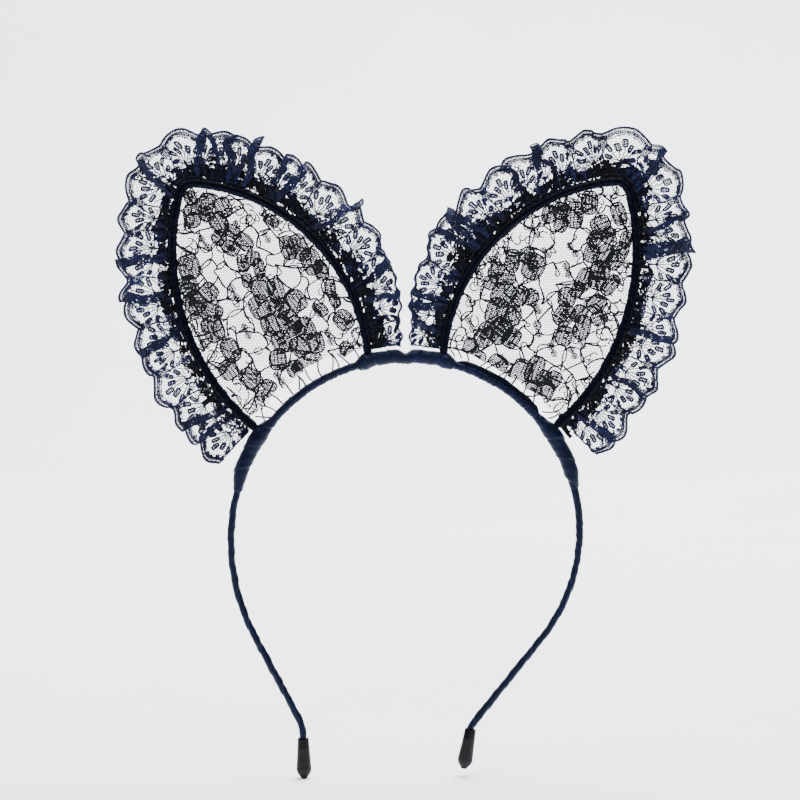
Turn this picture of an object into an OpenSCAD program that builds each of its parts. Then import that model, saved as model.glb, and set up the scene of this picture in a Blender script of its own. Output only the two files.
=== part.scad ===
// Animal ears headband: a sprung wire band wrapped in satin ribbon, with two posable wire ears.
// Each ear carries a lace panel and a gathered lace ruffle; rubber caps cover the band's ends.
// Origin: the inner side of the band at its highest point, where the head touches it.
// +Z is up, -Y is the front. Every part is drawn flat in X and Y first, then stood upright.

/* [Band] */
// Radius of the band's centreline over the head
band_r = 59.3; // [56:0.1:66]
// Diameter of the band's spring wire
band_wire_d = 1.5; // [1.4:0.1:1.6]
// Diameter of the band over its ribbon, between the ears
crown_d = 3.0; // [2.9:0.1:3.2]
// Diameter of the arms over their ribbon
arm_d = 2.6; // [2.4:0.1:2.7]
// Angle from the top at which each arm flexes
flex_at = 72; // [71:0.5:74]

/* [Left arm, as it is bent] */
// Radius of its arc
left_arm_r = 70; // [59:0.5:75]
// Angle from the top at which it runs straight
left_leaves_at = 117.4; // [112:0.1:126]
// Length of its straight stretch
left_straight = 31.2; // [26:0.1:42]
// Radius of the bend above its end cap
left_end_bend_r = 17; // [4:0.5:22]
// Inward lean of its end cap from the vertical
left_cap_lean = 1; // [0:0.5:12]

/* [Right arm, as it is bent] */
// Radius of its arc
right_arm_r = 59.3; // [57:0.1:70]
// Angle from the top at which it runs straight
right_leaves_at = 128.9; // [118:0.1:132]
// Length of its straight stretch
right_straight = 37.5; // [26:0.1:42]
// Radius of the bend above its end cap
right_end_bend_r = 4; // [4:0.5:22]
// Inward lean of its end cap from the vertical
right_cap_lean = 10; // [0:0.5:12]

/* [End caps] */
// Length of a rubber end cap
cap_len = 14; // [13:0.5:16]
// Largest diameter of a rubber end cap
cap_d = 5.2; // [4.8:0.1:5.6]

/* [Ears] */
// Angle from the top of each ear's inner foot
foot_in = 12; // [11.5:0.5:13]
// Angle from the top of each ear's outer foot
foot_out = 55; // [54:0.5:56]
// Half the distance between the two ear tips
tip_x = 75; // [73:0.5:77]
// Height of the ear tips
tip_z = 61.3; // [59:0.1:64]
// Radius of the inner and top side of the ear frame
inner_side_r = 64; // [62:0.5:68]
// Radius of the outer side of the ear frame
outer_side_r = 78; // [74:0.5:82]
// Radius of the bend at the ear tip
tip_bend_r = 5; // [4.5:0.5:6]
// Diameter of the ear's frame wire
ear_wire_d = 1.2; // [1.1:0.1:1.3]
// Diameter of the ear frame over its ribbon
ear_d = 3.1; // [2.9:0.1:3.3]

/* [Lace] */
// Reach of the ruffle beyond the frame's centreline
ruffle_reach = 18.5; // [16:0.5:19]
// Depth of the ruffle's folds, front to back
ruffle_depth = 5.0; // [4:0.2:6]
// Width of the gathered heading beside the frame
heading_w = 1.65; // [1.4:0.05:1.8]
// Thickness of the lace panel's envelope
panel_t = 0.8; // [0.6:0.1:1.2]
// Height of the panel's cut edge above the band's centreline
panel_gap = 5; // [4.6:0.1:6]

/* [Hidden] */
$fn = 64;
SIDES = 12;           // flats round a bent wire
STEP = 2.5;           // turn between stations along a wide arc, in degrees
BEND_STEP = 7;        // the same along a tight bend
BALL_STEP = 22.5;     // the same over a wire's ball end
LEFT = -1;
RIGHT = 1;
fit = 0.04;           // clearance between a wire and what is wrapped round it
wrap = 0.35;          // thickness of the binding ribbon at the ears' feet
near = 0.1;           // gap between neighbouring soft pieces of one ear
foot_gap = 1.0;       // gap between an ear wire's end and its tail
ball_gap = 0.06;      // clearance round an arm wire's ball end
flex_gap = 0.5;       // half the gap between crown and arm ribbons at the flex point
tail_in_end = 3;      // angle from the top where an inner tail stops
tail_out_end = 70;    // angle from the top where an outer tail stops
tail_show = 0.3;      // how far a tail's ends show beyond its binding, in degrees
ribbon_rise = 2.4;    // bare ear wire between a foot and the frame's ribbon
thread_rise = 3.5;    // distance from a foot at which the gathering thread starts
clear_of_band = 4.6;  // nearest that ruffle and heading come to the band's centreline
centre_gap = 1.8;     // half the gap between the two ruffles at the middle
centre_gap_top = 22;  // height up to which that gap is parallel
centre_open = [7, 22]; // how far the gap then widens, and over what height
beyond = 60;          // further than anything on the other half reaches
heading_t = 1.8;      // thickness of the gathered heading
thread_d = 0.5;       // gathering thread
ribbon_in_cap = 4;    // how far ribbon and wire run into an end cap
wire_in_cap = 10;
// An end cap's outer profile from its mouth on: share of its length, and diameter there.
cap_profile = [[0, 3.6], [0.03, 3.9], [0.4, 4.4], [0.78, cap_d], [0.86, cap_d - 0.6],
               [0.97, 2.4], [1, 1.8]];

band_c = [0, crown_d / 2 - band_r];
foot_rise = crown_d / 2 + ear_wire_d / 2 + fit;

function polar(c, r, a) = c + r * [cos(a), sin(a)];
function angle_of(v) = atan2(v.y, v.x);
function turn(length, r) = length / r * 180 / PI;
function on_band(t, rise = 0) = polar(band_c, band_r + rise, 90 - t);
// Centre of an arc of radius r from p to q, to the right of the way from p to q.
function arc_centre(p, q, r) =
    let (v = q - p, half = norm(v) / 2)
    (p + q) / 2 + sqrt(r * r - half * half) * [v.y, -v.x] / norm(v);
// The point at distance r1 from c1 and r2 from c2, to the right of the way from c1 to c2.
function meeting(c1, r1, c2, r2) =
    let (d = norm(c2 - c1), u = (c2 - c1) / d, a = (r1 * r1 - r2 * r2 + d * d) / (2 * d))
    c1 + a * u + sqrt(r1 * r1 - a * a) * [u.y, -u.x];

flex_point = on_band(flex_at);

// An arm is [radius of its arc, angle where it leaves it, straight length, radius of the end bend,
// lean of the cap]. Its route is arc, straight, bend, then straight into the cap, drawn on the right.
LEFT_ARM = [left_arm_r, left_leaves_at, left_straight, left_end_bend_r, left_cap_lean];
RIGHT_ARM = [right_arm_r, right_leaves_at, right_straight, right_end_bend_r, right_cap_lean];
function arm_of(side) = side == LEFT ? LEFT_ARM : RIGHT_ARM;
function arm_c(arm) = polar(flex_point, -arm[0], 90 - flex_at);
function bend_c(arm) = polar(polar(polar(arm_c(arm), arm[0], 90 - arm[1]), arm[2], -arm[1]),
                             arm[3], 90 - arm[1]);
function cap_heading(arm) = -90 - arm[4];
function cap_at(arm) = polar(bend_c(arm), arm[3], cap_heading(arm) - 90);

// A route is a list of stations, each [point, angle of the outward side], with a share of the
// wire's diameter as a third value where the wire is thinner.
function arc_route(c, r, a0, a1, step, facing = 0) =
    let (n = ceil(abs(a1 - a0) / step))
    [for (i = [0 : n]) let (a = a0 + (a1 - a0) * i / n) [polar(c, r, a), a + facing]];
function tail_of(route) = [for (i = [1 : len(route) - 1]) route[i]];

// From t0 along the arm's arc, down its straight, round its bend and some way into its cap.
function arm_route(arm, t0, inside) = concat(
    arc_route(arm_c(arm), arm[0], 90 - t0, 90 - arm[1], STEP),
    arc_route(bend_c(arm), arm[3], 270 - arm[1], 180 - arm[4], BEND_STEP, 180),
    [[polar(cap_at(arm), inside, cap_heading(arm)), cap_heading(arm) + 90]]
);

// The right ear's frame runs clockwise: inner side, bend at the tip, outer side.
inner_foot = on_band(foot_in, foot_rise);
outer_foot = on_band(foot_out, foot_rise);
tip = [tip_x, tip_z];
inner_c = arc_centre(inner_foot, tip, inner_side_r);
outer_c = arc_centre(tip, outer_foot, outer_side_r);
tip_c = meeting(inner_c, inner_side_r - tip_bend_r, outer_c, outer_side_r - tip_bend_r);
tip_from = angle_of(tip_c - inner_c);
tip_to = angle_of(tip_c - outer_c);
function ear_route(trim = 0) = concat(
    arc_route(inner_c, inner_side_r, angle_of(inner_foot - inner_c) - turn(trim, inner_side_r),
              tip_from, STEP),
    tail_of(arc_route(tip_c, tip_bend_r, tip_from, tip_to, BEND_STEP)),
    tail_of(arc_route(outer_c, outer_side_r, tip_to,
                      angle_of(outer_foot - outer_c) + turn(trim, outer_side_r), STEP))
);
// The frame's outline, moved outwards by some distance.
function ear_outline(out) = [for (s = ear_route()) polar(s[0], out, s[1])];
function reversed(list) = [for (i = [len(list) - 1 : -1 : 0]) list[i]];

// Stands a flat drawing upright, on the right or mirrored to the left.
module upright(side = RIGHT)
    mirror([side == LEFT ? 1 : 0, 0, 0])
        rotate([90, 0, 0])
            children();

// Sweeps a flat profile round c, from the low angle to the high one. The profile's +X is outwards.
module sweep_arc(c, r, low, high)
    translate([c.x, c.y, 0])
        rotate(low)
            rotate_extrude(angle = high - low)
                translate([r, 0])
                    children();

// Along the band's circle, between two angles from the top.
module along_band(t0, t1)
    sweep_arc(band_c, band_r, 90 - t1, 90 - t0)
        children();

module ring(outer_d, inner_d)
    difference() {
        circle(d = outer_d);
        circle(d = inner_d);
    }

// Adds a ball end of the wire's own diameter, centred on the route's first point.
function round_ended(route, d) = concat(
    [for (a = [90 - BALL_STEP : -BALL_STEP : BALL_STEP])
        [polar(route[0][0], d / 2 * sin(a), route[0][1] + 90), route[0][1], cos(a)]],
    route);

// The ring of points round one station of a wire. rise lifts it off the drawing plane.
function station_ring(s, d, out, rise) =
    let (r = d / 2 * (is_undef(s[2]) ? 1 : s[2]))
    [for (k = [0 : SIDES - 1])
        let (a = 360 * k / SIDES, p = polar(s[0], out + r * cos(a), s[1]))
        [p.x, p.y, rise + r * sin(a)]];
function wall(rings, from, flip) =
    [for (i = [0 : rings - 2], k = [0 : SIDES - 1])
        let (next = (k + 1) % SIDES, a = from + i * SIDES,
             quad = [a + k, a + next, a + SIDES + next, a + SIDES + k])
        flip ? reversed(quad) : quad];

// A solid wire along a route that runs clockwise about its outward side.
module wire_along(route, d, out = 0, rise = 0) {
    n = len(route);
    first = [for (k = [0 : SIDES - 1]) k];
    last = [for (k = [0 : SIDES - 1]) (n - 1) * SIDES + k];
    polyhedron(
        points = [for (s = route) each station_ring(s, d, out, rise)],
        faces = concat(wall(n, 0, false), [reversed(first), last]));
}

// A ribbon wound into a tube along a route, whose flats clear the wire inside.
module ribbon_along(route, outer_d, inner_d) {
    n = len(route);
    bore = inner_d / cos(180 / SIDES);
    inside = n * SIDES;
    ends = [for (k = [0 : SIDES - 1]) let (next = (k + 1) % SIDES) each [
        [k, inside + k, inside + next, next],
        [(n - 1) * SIDES + k, (n - 1) * SIDES + next,
         inside + (n - 1) * SIDES + next, inside + (n - 1) * SIDES + k]
    ]];
    polyhedron(
        points = concat(
            [for (s = route) each station_ring(s, outer_d, 0, 0)],
            [for (s = route) each station_ring(s, bore, 0, 0)]),
        faces = concat(wall(n, 0, false), wall(n, inside, true), ends));
}

// A flat strip beside the ear's frame, between two distances outwards from its centreline.
module strip_outline(from, to)
    polygon(concat(ear_outline(to), reversed(ear_outline(from))));

// Takes away what lies too near the band or the middle of the headband.
module clear_of_neighbours()
    difference() {
        children();
        translate(band_c)
            circle(r = band_r + clear_of_band);
        polygon([[-beyond, -beyond], [centre_gap, -beyond], [centre_gap, centre_gap_top],
                 [centre_gap, centre_gap_top] + centre_open,
                 [-beyond, centre_gap_top + centre_open.y]]);
    }

// ---- crown -------------------------------------------------------------------------------------

module crown_wire()
    color("silver")
        upright()
            difference() {
                along_band(-flex_at, flex_at) circle(d = band_wire_d);
                for (s = [LEFT, RIGHT])
                    translate([s * flex_point.x, flex_point.y, 0])
                        sphere(d = band_wire_d + 2 * ball_gap);
            }

module crown_ribbon() {
    end = flex_at - turn(flex_gap, band_r);
    color("midnightblue")
        upright()
            along_band(-end, end)
                ring(crown_d, band_wire_d + 2 * fit);
}

// The end of an ear's wire, laid along the outer side of the band.
module ear_tail(side, t0, t1)
    color("silver")
        upright(side)
            along_band(t0, t1)
                translate([foot_rise, 0])
                    circle(d = ear_wire_d);

// Ribbon wound round the band and the ear's tail together.
module foot_binding(side, t0, t1)
    color("midnightblue")
        upright(side)
            along_band(t0, t1)
                difference() {
                    union() {
                        circle(d = crown_d + 2 * wrap);
                        translate([foot_rise, 0])
                            circle(d = ear_wire_d + 2 * wrap);
                        polygon([[0, -crown_d / 2 - wrap], [foot_rise, -ear_wire_d / 2 - wrap],
                                 [foot_rise, ear_wire_d / 2 + wrap], [0, crown_d / 2 + wrap]]);
                    }
                    circle(d = crown_d + 2 * fit);
                    translate([foot_rise, 0])
                        circle(d = ear_wire_d + 2 * fit);
                }

foot_turn = turn(foot_gap, band_r);

module ear_tail_inner(side) ear_tail(side, tail_in_end, foot_in - foot_turn);
module ear_tail_outer(side) ear_tail(side, foot_out + foot_turn, tail_out_end);
module foot_binding_inner(side)
    foot_binding(side, tail_in_end + tail_show, foot_in - foot_turn - tail_show);
module foot_binding_outer(side)
    foot_binding(side, foot_out + foot_turn + tail_show, tail_out_end - tail_show);

// ---- arms --------------------------------------------------------------------------------------

module arm_wire(side)
    color("silver")
        upright(side)
            wire_along(round_ended(arm_route(arm_of(side), flex_at, wire_in_cap), band_wire_d),
                       band_wire_d);

module arm_ribbon(side)
    color("midnightblue")
        upright(side)
            ribbon_along(arm_route(arm_of(side), flex_at + turn(flex_gap, band_r), ribbon_in_cap),
                         arm_d, band_wire_d + 2 * fit);

module end_cap(side)
    color("black")
        upright(side)
            translate(cap_at(arm_of(side)))
                rotate(cap_heading(arm_of(side)))
                    rotate([0, 90, 0])
                        rotate_extrude()
                            polygon(concat(
                                [[arm_d / 2 + fit, 0]],
                                [for (p = cap_profile) [p[1] / 2, cap_len * p[0]]],
                                [[0, cap_len],
                                 [0, wire_in_cap + fit],
                                 [band_wire_d / 2 + fit, wire_in_cap + fit],
                                 [band_wire_d / 2 + fit, ribbon_in_cap + fit],
                                 [arm_d / 2 + fit, ribbon_in_cap + fit]]
                            ));

// ---- ears --------------------------------------------------------------------------------------

module ear_wire(side)
    color("silver")
        upright(side)
            wire_along(ear_route(), ear_wire_d);

module ear_ribbon(side)
    color("midnightblue")
        upright(side)
            ribbon_along(ear_route(ribbon_rise), ear_d, ear_wire_d + 2 * fit);

// Fills the frame, down to the cut edge above the band.
module lace_panel(side)
    color("midnightblue", 0.6)
        upright(side)
            linear_extrude(panel_t, center = true)
                difference() {
                    polygon(ear_outline(-ear_d / 2 - near));
                    translate(band_c)
                        circle(r = band_r + panel_gap);
                }

// The dense gathers where the ruffle is sewn to the frame.
module ruffle_heading(side)
    color("black")
        upright(side)
            linear_extrude(heading_t, center = true)
                clear_of_neighbours()
                    strip_outline(ear_d / 2 + near, ear_d / 2 + near + heading_w);

module gathering_thread(side)
    color("navy")
        upright(side)
            wire_along(ear_route(thread_rise), thread_d, ear_d / 2 + near + heading_w / 2,
                       heading_t / 2 + near + thread_d / 2);

// The envelope of the gathered lace edging.
module ruffle(side)
    color("darkblue", 0.6)
        upright(side)
            linear_extrude(ruffle_depth, center = true)
                clear_of_neighbours()
                    strip_outline(ear_d / 2 + 2 * near + heading_w, ruffle_reach);

crown_wire();
crown_ribbon();
ear_tail_inner(LEFT);  // ear_tail_inner_left
ear_tail_inner(RIGHT);  // ear_tail_inner_right
ear_tail_outer(LEFT);  // ear_tail_outer_left
ear_tail_outer(RIGHT);  // ear_tail_outer_right
foot_binding_inner(LEFT);  // foot_binding_inner_left
foot_binding_inner(RIGHT);  // foot_binding_inner_right
foot_binding_outer(LEFT);  // foot_binding_outer_left
foot_binding_outer(RIGHT);  // foot_binding_outer_right
arm_wire(LEFT);  // arm_wire_left
arm_wire(RIGHT);  // arm_wire_right
arm_ribbon(LEFT);  // arm_ribbon_left
arm_ribbon(RIGHT);  // arm_ribbon_right
end_cap(LEFT);  // end_cap_left
end_cap(RIGHT);  // end_cap_right
ear_wire(LEFT);  // ear_wire_left
ear_wire(RIGHT);  // ear_wire_right
ear_ribbon(LEFT);  // ear_ribbon_left
ear_ribbon(RIGHT);  // ear_ribbon_right
lace_panel(LEFT);  // lace_panel_left
lace_panel(RIGHT);  // lace_panel_right
ruffle_heading(LEFT);  // ruffle_heading_left
ruffle_heading(RIGHT);  // ruffle_heading_right
gathering_thread(LEFT);  // gathering_thread_left
gathering_thread(RIGHT);  // gathering_thread_right
ruffle(LEFT);  // ruffle_left
ruffle(RIGHT);  // ruffle_right
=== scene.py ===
"""The animal ears headband's looks: satin wound round wire, and lace made of its threads."""
import math

import bpy
import numpy as np
from mathutils import Matrix, Vector


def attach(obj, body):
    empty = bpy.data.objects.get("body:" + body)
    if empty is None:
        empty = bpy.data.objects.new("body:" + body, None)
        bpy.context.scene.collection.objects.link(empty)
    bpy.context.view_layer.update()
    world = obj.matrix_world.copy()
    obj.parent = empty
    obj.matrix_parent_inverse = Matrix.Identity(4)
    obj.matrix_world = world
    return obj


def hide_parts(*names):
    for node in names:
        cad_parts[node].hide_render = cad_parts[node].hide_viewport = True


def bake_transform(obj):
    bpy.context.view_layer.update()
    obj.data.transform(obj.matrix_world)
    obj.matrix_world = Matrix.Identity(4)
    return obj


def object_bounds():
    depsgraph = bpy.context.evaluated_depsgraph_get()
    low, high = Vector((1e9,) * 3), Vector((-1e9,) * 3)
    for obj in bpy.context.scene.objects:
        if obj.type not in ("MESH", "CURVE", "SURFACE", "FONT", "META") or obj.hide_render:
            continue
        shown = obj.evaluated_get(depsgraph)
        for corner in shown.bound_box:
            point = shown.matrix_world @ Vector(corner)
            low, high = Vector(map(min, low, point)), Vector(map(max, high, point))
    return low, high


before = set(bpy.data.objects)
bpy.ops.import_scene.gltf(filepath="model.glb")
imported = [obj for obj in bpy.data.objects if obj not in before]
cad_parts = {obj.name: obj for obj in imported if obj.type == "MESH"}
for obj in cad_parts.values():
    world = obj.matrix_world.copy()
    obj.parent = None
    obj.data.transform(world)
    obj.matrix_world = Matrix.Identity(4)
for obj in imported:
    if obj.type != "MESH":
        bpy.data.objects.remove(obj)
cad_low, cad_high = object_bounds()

MM = 0.001

# ---- driving dimensions, in millimetres, as in the CAD model ----
BAND_R = 59.3  # the band's centreline over the crown
CROWN_D = 3.0  # across the wound ribbon, here and below: over the crown,
ARM_D = 2.6  # over the arms
EAR_D = 3.1  # and over the ear frames
# How each arm is bent: radius of its arc, angle from the top at which it runs straight, length of
# that stretch, radius of the bend above its end cap, and the cap's inward lean.
ARMS = {"left": (70.0, math.radians(117.4), 31.2, 17.0, math.radians(1)),
        "right": (59.3, math.radians(128.9), 37.5, 4.0, math.radians(10))}
# Angles are measured from the band's top.
FLEX_AT = math.radians(72)  # where the arms begin
FOOT_IN, FOOT_OUT = math.radians(12), math.radians(55)  # the ear's two feet
TAIL_OUT_END = math.radians(70)  # the end of the wire's tail below the outer foot
BAND_WIRE_D, EAR_WIRE_D = 1.5, 1.2
WIRE_IN_CAP, RIBBON_IN_CAP = 10.0, 4.0
FIT = 0.04  # between a tail and the ribbon that it lies on
WRAP = 0.35  # thickness that a binding adds
TIP = np.array([75.0, 61.3])  # the ear's tip before it is rounded
INNER_SIDE_R, OUTER_SIDE_R, TIP_BEND_R = 64.0, 78.0, 5.0  # the ear frame's three arcs
BAND_C = np.array([0.0, CROWN_D / 2 - BAND_R])
FOOT_RISE = CROWN_D / 2 + EAR_WIRE_D / 2 + FIT  # how far a foot stands off the centreline

# ---- lace sizes, in millimetres ----
NET_CELL, PANEL_CELL = 1.05, 1.0  # from flat to flat of a net mesh
NET_THREAD = 0.1  # radius
REPEAT = 11.8  # flat length of one scallop of the edging
EDGE_AT = 15.0  # width of the edging at the valleys between its scallops
SCALLOP_RISE = 2.7
ROOT = EAR_D / 2 - 0.35  # where the edging leaves the frame's ribbon
BARE_IN, BARE_OUT = 1.5, {"left": 1.8, "right": 4.0}  # frame without edging at its two feet
VISIBLE_REPEAT = 8.1  # one scallop's mean length once it is gathered, at FAN_AT
FAN_AT = 11.0
CLEAR_OF_BAND = 3.6  # nearest that the edging comes to the band's centreline
PRISM = 1.35  # a three-sided thread looks as wide as a round one of radius 1 with this radius
CENTRE_GAP = 1.05  # half the least gap between the two ears' edgings
HEM_D, HEM_RISE = 1.9, 1.8  # the right panel's rolled hem, and its way off the centreline
PANEL_GAP = {"left": 5.2, "right": 4.5}  # from the centreline to the panel's cut edge
PANEL_BOX = (5, -30), (82, 66)  # two corners that hold a panel
EAR_MIDDLE = np.array([48, 22])


def stacked(*parts):
    """Points from their coordinates."""
    return np.stack(np.broadcast_arrays(*parts), axis=-1)


def running(steps):
    """The running total of steps, from 0."""
    return np.concatenate([[0], np.cumsum(steps)])


def lengths(line):
    """How far along a line each of its points is."""
    return running(np.linalg.norm(np.diff(line, axis=0), axis=1))


def between(at, far, line):
    """The places at these lengths on a line whose points are far along it."""
    return stacked(*(np.interp(at, far, column) for column in line.T))


def polar(c, r, a):
    """The places at distance r from c, at the angles a."""
    a = np.asarray(a, float)
    return c + r * stacked(np.cos(a), np.sin(a))


def angle_of(v):
    """The angle at which a vector points."""
    return math.atan2(v[1], v[0])


def on_band(t, rise=0.0):
    """The place at angle t from the band's top, rise outside its centreline."""
    return polar(BAND_C, BAND_R + rise, math.pi / 2 - t)


def arc_centre(p, q, r):
    """The centre of the arc of radius r that runs clockwise from p to q."""
    v = q - p
    side = math.sqrt(r * r - v @ v / 4)
    return (p + q) / 2 + side * np.array([v[1], -v[0]]) / np.linalg.norm(v)


def meeting(c1, r1, c2, r2):
    """The right-hand meeting point of two circles, seen from the first towards the second."""
    d = np.linalg.norm(c2 - c1)
    u = (c2 - c1) / d
    a = (r1 * r1 - r2 * r2 + d * d) / (2 * d)
    return c1 + a * u + math.sqrt(r1 * r1 - a * a) * np.array([u[1], -u[0]])


class Route:
    """A curve in the upright plane, with its outward angle and its length at each point.

    Each arc is (centre, radius, first angle, last angle, turn from its radius to outward).
    """

    STEP = 0.2

    def __init__(self, *arcs):
        points, angles = [], []
        for c, r, a0, a1, facing in arcs:
            n = max(2, math.ceil(abs(a1 - a0) * r / self.STEP))
            a = np.linspace(a0, a1, n + 1)
            points.append(polar(c, r, a))
            angles.append(a + facing)
        self.p = np.concatenate(points)
        self.a = np.unwrap(np.concatenate(angles))
        self.s = lengths(self.p)
        keep = np.concatenate([[True], np.diff(self.s) > 1e-6])
        self.p, self.a, self.s = self.p[keep], self.a[keep], self.s[keep]
        self.length = self.s[-1]

    def at(self, s):
        """The place at length s, and the outward angle there."""
        return between(s, self.s, self.p), np.interp(s, self.s, self.a)


FLAT = 1e5  # radius of an arc that stands for a straight line


def straight(p, heading, length):
    """A straight stretch from p, as an arc."""
    start = heading + math.pi / 2
    return p - polar(0, FLAT, start), FLAT, start, start - length / FLAT, 0


def half_band(arc_r, leaves_at, length, end_bend_r, cap_lean):
    """Half of the band, drawn on the right, from its top to inside the end cap."""
    arc_c = polar(on_band(FLEX_AT), -arc_r, math.pi / 2 - FLEX_AT)
    straight_from = polar(arc_c, arc_r, math.pi / 2 - leaves_at)
    bend_from = polar(straight_from, length, -leaves_at)
    bend_c = polar(bend_from, end_bend_r, math.pi / 2 - leaves_at)
    cap_heading = -math.pi / 2 - cap_lean
    return Route(
        (BAND_C, BAND_R, math.pi / 2, math.pi / 2 - FLEX_AT, 0),
        (arc_c, arc_r, math.pi / 2 - FLEX_AT, math.pi / 2 - leaves_at, 0),
        straight(straight_from, -leaves_at, length),
        (bend_c, end_bend_r, 1.5 * math.pi - leaves_at, math.pi - cap_lean, math.pi),
        straight(polar(bend_c, end_bend_r, cap_heading - math.pi / 2), cap_heading, WIRE_IN_CAP),
    )


half_bands = {name: half_band(*arm) for name, arm in ARMS.items()}
flex_s = BAND_R * FLEX_AT

# The right ear's frame, clockwise from its inner foot.
inner_foot, outer_foot = on_band(FOOT_IN, FOOT_RISE), on_band(FOOT_OUT, FOOT_RISE)
inner_c = arc_centre(inner_foot, TIP, INNER_SIDE_R)
outer_c = arc_centre(TIP, outer_foot, OUTER_SIDE_R)
tip_c = meeting(inner_c, INNER_SIDE_R - TIP_BEND_R, outer_c, OUTER_SIDE_R - TIP_BEND_R)
ear_frame = Route(
    (inner_c, INNER_SIDE_R, angle_of(inner_foot - inner_c), angle_of(tip_c - inner_c), 0),
    (tip_c, TIP_BEND_R, angle_of(tip_c - inner_c), angle_of(tip_c - outer_c), 0),
    (outer_c, OUTER_SIDE_R, angle_of(tip_c - outer_c), angle_of(outer_foot - outer_c), 0),
)
inner_length = INNER_SIDE_R * abs(angle_of(tip_c - inner_c) - angle_of(inner_foot - inner_c))


class Noise:
    """Smooth seeded noise from -1 to 1, one unit of length per lattice step."""

    SIZE = 64

    def __init__(self, seed):
        self.grid = np.random.default_rng(seed).uniform(-1, 1, (self.SIZE, self.SIZE))

    def __call__(self, x, y=0.0):
        x, y = np.broadcast_arrays(np.asarray(x, float), np.asarray(y, float))
        i, j = np.floor(x).astype(int), np.floor(y).astype(int)
        fx, fy = x - i, y - j
        fx, fy = fx * fx * (3 - 2 * fx), fy * fy * (3 - 2 * fy)
        i, j, right, above = (k % self.SIZE for k in (i, j, i + 1, j + 1))
        low = self.grid[i, j] * (1 - fx) + self.grid[right, j] * fx
        high = self.grid[i, above] * (1 - fx) + self.grid[right, above] * fx
        return low * (1 - fy) + high * fy


# ---- meshes ----

def added(name, data):
    """An object in the scene that holds data."""
    obj = bpy.data.objects.new(name, data)
    bpy.context.scene.collection.objects.link(obj)
    return obj


def piece(name, points, faces, material, slot, side=1, planar_uv=True):
    """A smooth mesh object from points in millimetres; side -1 mirrors it to the left."""
    points = np.array(points, float) * MM
    points[:, 0] *= side
    faces = [np.asarray(f, int) for f in faces]
    if side < 0:
        faces = [f[:, ::-1] for f in faces]
    mesh = bpy.data.meshes.new(name)
    sizes = np.concatenate([np.full(len(f), f.shape[1]) for f in faces])
    corners = np.concatenate([f.ravel() for f in faces])
    mesh.vertices.add(len(points))
    mesh.vertices.foreach_set("co", points.ravel())
    mesh.loops.add(len(corners))
    mesh.loops.foreach_set("vertex_index", corners)
    mesh.polygons.add(len(sizes))
    mesh.polygons.foreach_set("loop_start", running(sizes)[:-1])
    mesh.polygons.foreach_set("use_smooth", np.full(len(sizes), True))
    mesh.update(calc_edges=True)
    if planar_uv:
        flat = points[corners][:, [0, 2]]
        low = flat.min(axis=0)
        uv = mesh.uv_layers.new(name="OFBake")
        uv.data.foreach_set("uv", ((flat - low) / (flat.max(axis=0) - low).max()).ravel())
    mesh.materials.append(material)
    obj = added(name, mesh)
    return obj


def threads(a, b, radius, sides=4, closed=True):
    """The points and faces of a prism round each segment from a to b."""
    m = len(a)
    along = b - a
    along /= np.maximum(np.linalg.norm(along, axis=1, keepdims=True), 1e-9)
    across = np.cross(along, [0.11, 1.0, 0.07])  # no thread runs along this direction
    across /= np.linalg.norm(across, axis=1, keepdims=True)
    up = np.cross(along, across)
    turn = (2 * np.pi * np.arange(sides) / sides)[None, :, None]
    radius = np.broadcast_to(np.asarray(radius, float), (m,))[:, None, None]
    ring = radius * (np.cos(turn) * across[:, None] + np.sin(turn) * up[:, None])
    points = np.concatenate([a[:, None] + ring, b[:, None] + ring], axis=1).reshape(-1, 3)
    k = np.arange(sides)
    nxt = (k + 1) % sides
    one = stacked(k, nxt, nxt + sides, k + sides)
    first = (np.arange(m) * 2 * sides)[:, None, None]
    faces = [(first + one[None]).reshape(-1, 4)]
    if closed:
        faces.append(first[:, 0] + k[::-1][None])
        faces.append(first[:, 0] + sides + k[None])
    return points, faces


def joined(parts):
    """Several (points, faces) as one."""
    points, faces, start = [], [], 0
    for p, f in parts:
        points.append(p)
        faces += [x + start for x in f]
        start += len(p)
    return np.concatenate(points), faces


class Drawing:
    """Threads drawn flat, as segments with a radius each."""

    def __init__(self):
        self.a, self.b, self.r = [], [], []

    def line(self, points, radius):
        points = np.asarray(points, float)
        self.segments(points[:-1], points[1:], radius)

    def segments(self, a, b, radius):
        self.a.append(np.asarray(a, float))
        self.b.append(np.asarray(b, float))
        self.r.append(np.broadcast_to(np.asarray(radius, float), (len(a),)))

    def bow(self, start, middle, end, radius):
        """A curved thread from start to end that middle pulls towards it."""
        self.line(finely(curve(start, middle, end, 8)), radius)

    def kept(self, inside):
        """The segments that lie inside, as arrays of their ends and radii."""
        a, b, r = (np.concatenate(one) for one in (self.a, self.b, self.r))
        keep = inside(a) & inside(b)
        return a[keep], b[keep], r[keep]


def honeycomb(low, high, cell):
    """The threads of a hexagonal net over a rectangle."""
    edge = cell / math.sqrt(3)
    rows = np.arange(math.floor(low[1] / (1.5 * edge)), math.ceil(high[1] / (1.5 * edge)) + 1)
    cols = np.arange(math.floor(low[0] / cell) - 1, math.ceil(high[0] / cell) + 2)
    i, j = np.meshgrid(cols, rows, indexing="ij")
    a = stacked((i + 0.5 * (j % 2)) * cell, j * 1.5 * edge).reshape(-1, 2)
    b = a + [0, edge]
    ends = np.concatenate([b, b + [cell / 2, edge / 2], b + [-cell / 2, edge / 2]])
    return np.concatenate([a, b, b]), ends


def curve(p0, p1, p2, n):
    """n segments of a curve from p0 to p2 that p1 pulls towards it."""
    t = np.linspace(0, 1, n + 1)[:, None]
    return (1 - t) ** 2 * np.asarray(p0) + 2 * t * (1 - t) * np.asarray(p1) + t * t * np.asarray(p2)


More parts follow.
